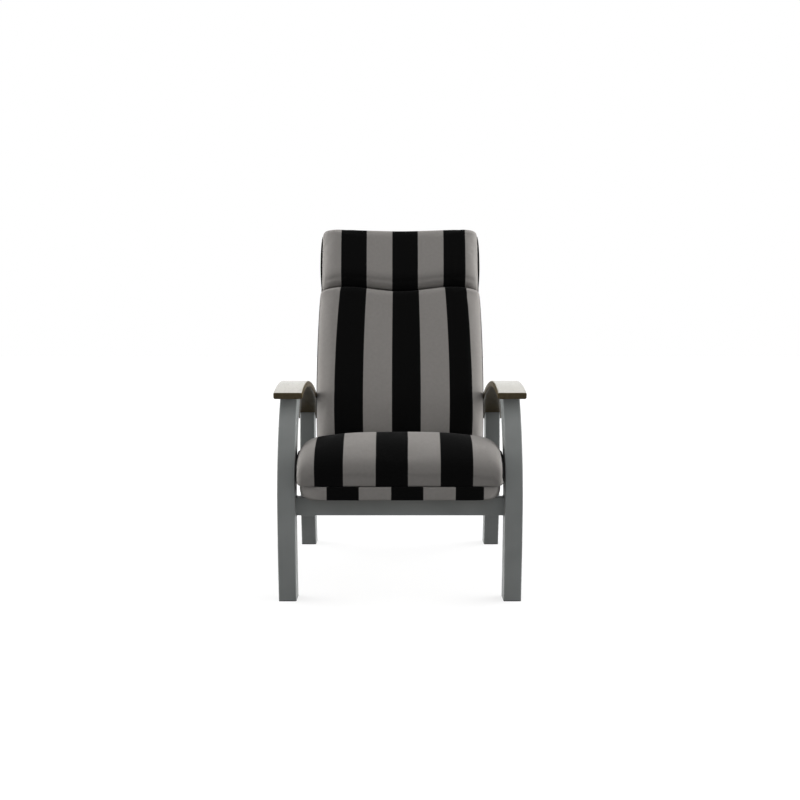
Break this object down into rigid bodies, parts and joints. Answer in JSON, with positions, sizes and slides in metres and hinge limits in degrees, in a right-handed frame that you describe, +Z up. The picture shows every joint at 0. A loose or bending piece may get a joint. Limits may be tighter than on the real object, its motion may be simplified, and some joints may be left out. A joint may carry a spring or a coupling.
{
  "type": "reclining garden armchair",
  "caption": "High-backed armchair with curved tube legs, bent timber arms, a padded striped seat and a padded back that reclines on side hinges against a gas spring.",
  "frame": {"origin": "on the floor, below the middle of the whole chair's box", "axes": "+Z up, -Y the way the sitter faces, +X to the sitter's left"},
  "size_m": [0.74, 0.8108, 1.1333],
  "materials": {
    "frame_paint": "satin powder coat, mid grey",
    "arm_wood": "grey-brown stained timber, satin lacquer",
    "stripe_fabric": "woven awning stripe, grey and black",
    "black_fabric": "plain woven outdoor cloth, black",
    "foot_plastic": "moulded, matt black",
    "grip_plastic": "moulded, fine texture, black",
    "black_steel": "semi-gloss black enamel",
    "zinc_steel": "bright zinc plate",
    "bush_plastic": "natural acetal",
    "rod_chrome": "hard chrome, ground",
    "plywood": "raw birch plywood"
  },
  "bodies": {
    "base": {"front_leg_left": "frame_paint", "front_leg_right": "frame_paint", "rear_leg_left": "frame_paint", "rear_leg_right": "frame_paint", "front_rail": "frame_paint", "rear_rail": "frame_paint", "seat_bearer_left": "frame_paint", "seat_bearer_right": "frame_paint", "mechanism_rail": "frame_paint", "hinge_bracket_left": "frame_paint", "hinge_bracket_right": "frame_paint", "arm_left": "arm_wood", "arm_right": "arm_wood", "seat_cushion": "stripe_fabric", "seat_base": "stripe_fabric", "front_glide_left": "foot_plastic", "front_glide_right": "foot_plastic", "rear_glide_left": "foot_plastic", "rear_glide_right": "foot_plastic", "spring_bracket": "black_steel", "arm_screws": "zinc_steel", "front_arm_plate_left": "zinc_steel", "front_arm_plate_right": "zinc_steel", "rear_arm_plate_left": "zinc_steel", "rear_arm_plate_right": "zinc_steel", "seat_bolts": "zinc_steel", "hinge_pin_left": "zinc_steel", "hinge_pin_right": "zinc_steel", "head_pivots": "zinc_steel", "release_head": "zinc_steel", "spring_piston": "zinc_steel", "shaft_bushes": "bush_plastic", "spring_rod": "rod_chrome", "seat_board": "plywood"},
    "back": {"back_stile_left": "black_steel", "back_stile_right": "black_steel", "back_rail_bottom": "black_steel", "back_rail_middle": "black_steel", "back_rail_top": "black_steel", "hinge_plate_left": "black_steel", "hinge_plate_right": "black_steel", "hinge_bush_left": "bush_plastic", "hinge_bush_right": "bush_plastic", "crank_bracket": "black_steel", "crank_pin": "zinc_steel", "back_panel": "plywood", "panel_screws": "zinc_steel", "back_cushion": "stripe_fabric", "headrest_cushion": "stripe_fabric", "back_cover": "black_fabric"},
    "gas_spring": {"gas_cylinder": "black_steel", "cylinder_guide": "bush_plastic", "cylinder_eye": "zinc_steel"},
    "release_lever": {"lever_shaft": "zinc_steel", "release_lever": "black_steel", "lever_grip": "grip_plastic", "release_finger": "zinc_steel"},
    "release_pin": {"release_pin": "zinc_steel"}
  },
  "joints": [
    {"name": "back_recline", "type": "hinge", "parent": "base", "child": "back", "pos_m": [0, 0.14109, 0.36], "axis": [-1, 0, 0], "range_deg": [0, 25]},
    {"name": "gas_spring_slide", "type": "slide", "parent": "base", "child": "gas_spring", "axis": [0, -1, 0], "range_m": [0, 0.0315]},
    {"name": "lever_pull", "type": "hinge", "parent": "base", "child": "release_lever", "pos_m": [-0.15, -0.10141, 0.27685], "axis": [-1, 0, 0], "range_deg": [0, 12], "stiffness_Nm_per_rad": 1.5, "springref_deg": -5.73},
    {"name": "pin_press", "type": "slide", "parent": "base", "child": "release_pin", "axis": [0, 1, 0], "range_m": [0, 0.0026]}
  ],
  "couplings": [
    {"joint": "gas_spring_slide", "follows": "back_recline", "m_per_rad": 0.07143},
    {"joint": "pin_press", "follows": "lever_pull", "m_per_rad": 0.012}
  ]
}
